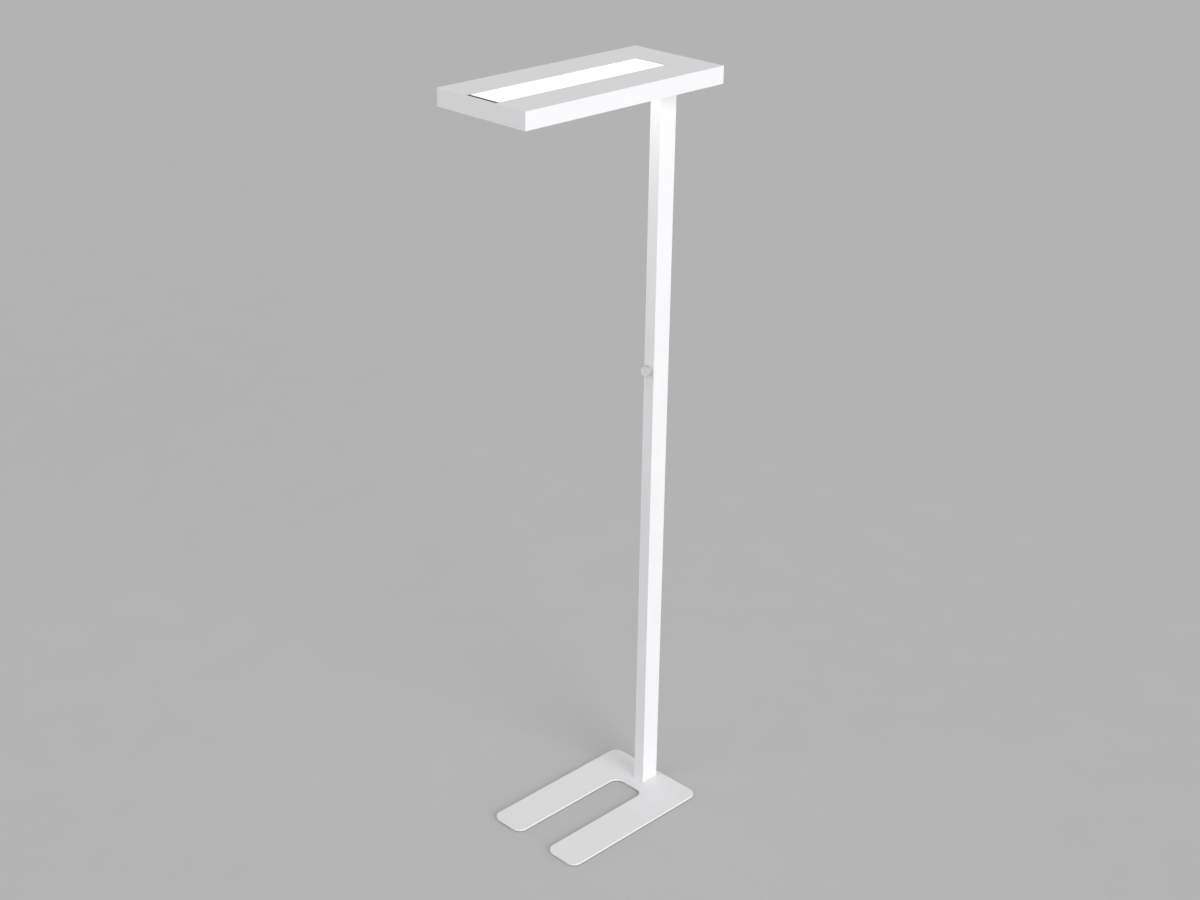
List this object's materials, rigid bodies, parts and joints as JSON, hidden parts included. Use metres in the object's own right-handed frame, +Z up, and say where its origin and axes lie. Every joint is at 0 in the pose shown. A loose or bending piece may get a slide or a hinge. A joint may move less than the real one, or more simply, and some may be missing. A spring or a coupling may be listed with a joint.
{
  "type": "floor lamp",
  "caption": "Free-standing office floor lamp: U-shaped flat foot, rectangular post with a push-and-turn dimmer, and a flat head that lights the ceiling and the desk.",
  "frame": {"origin": "on the floor, at the post's axis, under the centre pad", "axes": "+X from the post to the tips of the foot and the free end of the head, +Y to the lamp's left seen from behind the post, +Z up"},
  "size_m": [0.61, 0.302, 1.95],
  "materials": {
    "white_paint": "white powder coat, fine satin texture",
    "inside_white": "matt reflective white",
    "zinc_steel": "bright zinc plate",
    "block_aluminium": "machined",
    "pin_brass": "stamped",
    "pad_rubber": "matt",
    "black_plastic": "moulded, satin",
    "black_lead": "sheath",
    "grey_rubber": "closed-cell foam and sheath",
    "grey_plastic": "moulded",
    "knob_plastic": "moulded, satin, light grey",
    "white_plastic": "moulded",
    "opal_panel": "opal acrylic, lit from below",
    "prismatic_panel": "clear acrylic with fine prisms",
    "led_board": "white solder mask"
  },
  "bodies": {
    "frame": {"base_plate": "white_paint", "post": "white_paint", "head_shell": "white_paint", "head_tray": "white_paint", "uplight_reflector": "inside_white", "downlight_frame": "inside_white", "carrier_plate": "inside_white", "base_screw_1": "zinc_steel", "base_screw_2": "zinc_steel", "base_screw_3": "zinc_steel", "base_screw_4": "zinc_steel", "foot_block_screw_1": "zinc_steel", "foot_block_screw_2": "zinc_steel", "top_block_screw": "zinc_steel", "bracket_bolt_1": "zinc_steel", "bracket_bolt_2": "zinc_steel", "bracket_bolt_3": "zinc_steel", "bracket_bolt_4": "zinc_steel", "bracket_screw_1": "zinc_steel", "bracket_screw_2": "zinc_steel", "bracket_screw_3": "zinc_steel", "bracket_screw_4": "zinc_steel", "shell_screw_1": "zinc_steel", "shell_screw_2": "zinc_steel", "shell_screw_3": "zinc_steel", "shell_screw_4": "zinc_steel", "driver_screw_1": "zinc_steel", "driver_screw_2": "zinc_steel", "head_bracket": "zinc_steel", "dimmer_nut": "zinc_steel", "post_foot_block": "block_aluminium", "post_top_block": "block_aluminium", "inlet_pin_live": "pin_brass", "inlet_pin_neutral": "pin_brass", "inlet_pin_earth": "pin_brass", "foot_pad_centre": "pad_rubber", "foot_pad_front_left": "pad_rubber", "foot_pad_front_right": "pad_rubber", "foot_pad_rear_left": "pad_rubber", "foot_pad_rear_right": "pad_rubber", "mains_inlet": "black_plastic", "dimmer_body": "black_plastic", "mains_lead": "black_lead", "uplight_end_seal": "grey_rubber", "control_lead": "grey_rubber", "led_driver": "white_plastic", "terminal_block": "white_plastic", "driver_supply_lead": "white_plastic", "uplight_lead": "white_plastic", "downlight_lead": "white_plastic", "downlight_link_lead": "white_plastic", "uplight_diffuser": "opal_panel", "downlight_diffuser": "prismatic_panel", "uplight_board": "led_board", "downlight_board_left": "led_board", "downlight_board_right": "led_board"},
    "plunger": {"dimmer_plunger": "grey_plastic"},
    "knob": {"dimmer_shaft": "block_aluminium", "dimmer_knob": "knob_plastic"}
  },
  "joints": [
    {"name": "dimmer_push", "type": "slide", "parent": "frame", "child": "plunger", "axis": [-1, 0, 0], "range_m": [0, 0.001], "stiffness_N_per_m": 1500, "springref_m": -0.001},
    {"name": "dimmer_turn", "type": "hinge", "parent": "plunger", "child": "knob", "pos_m": [0.026, 0, 1.193], "axis": [1, 0, 0], "range_deg": [-135, 135]}
  ]
}
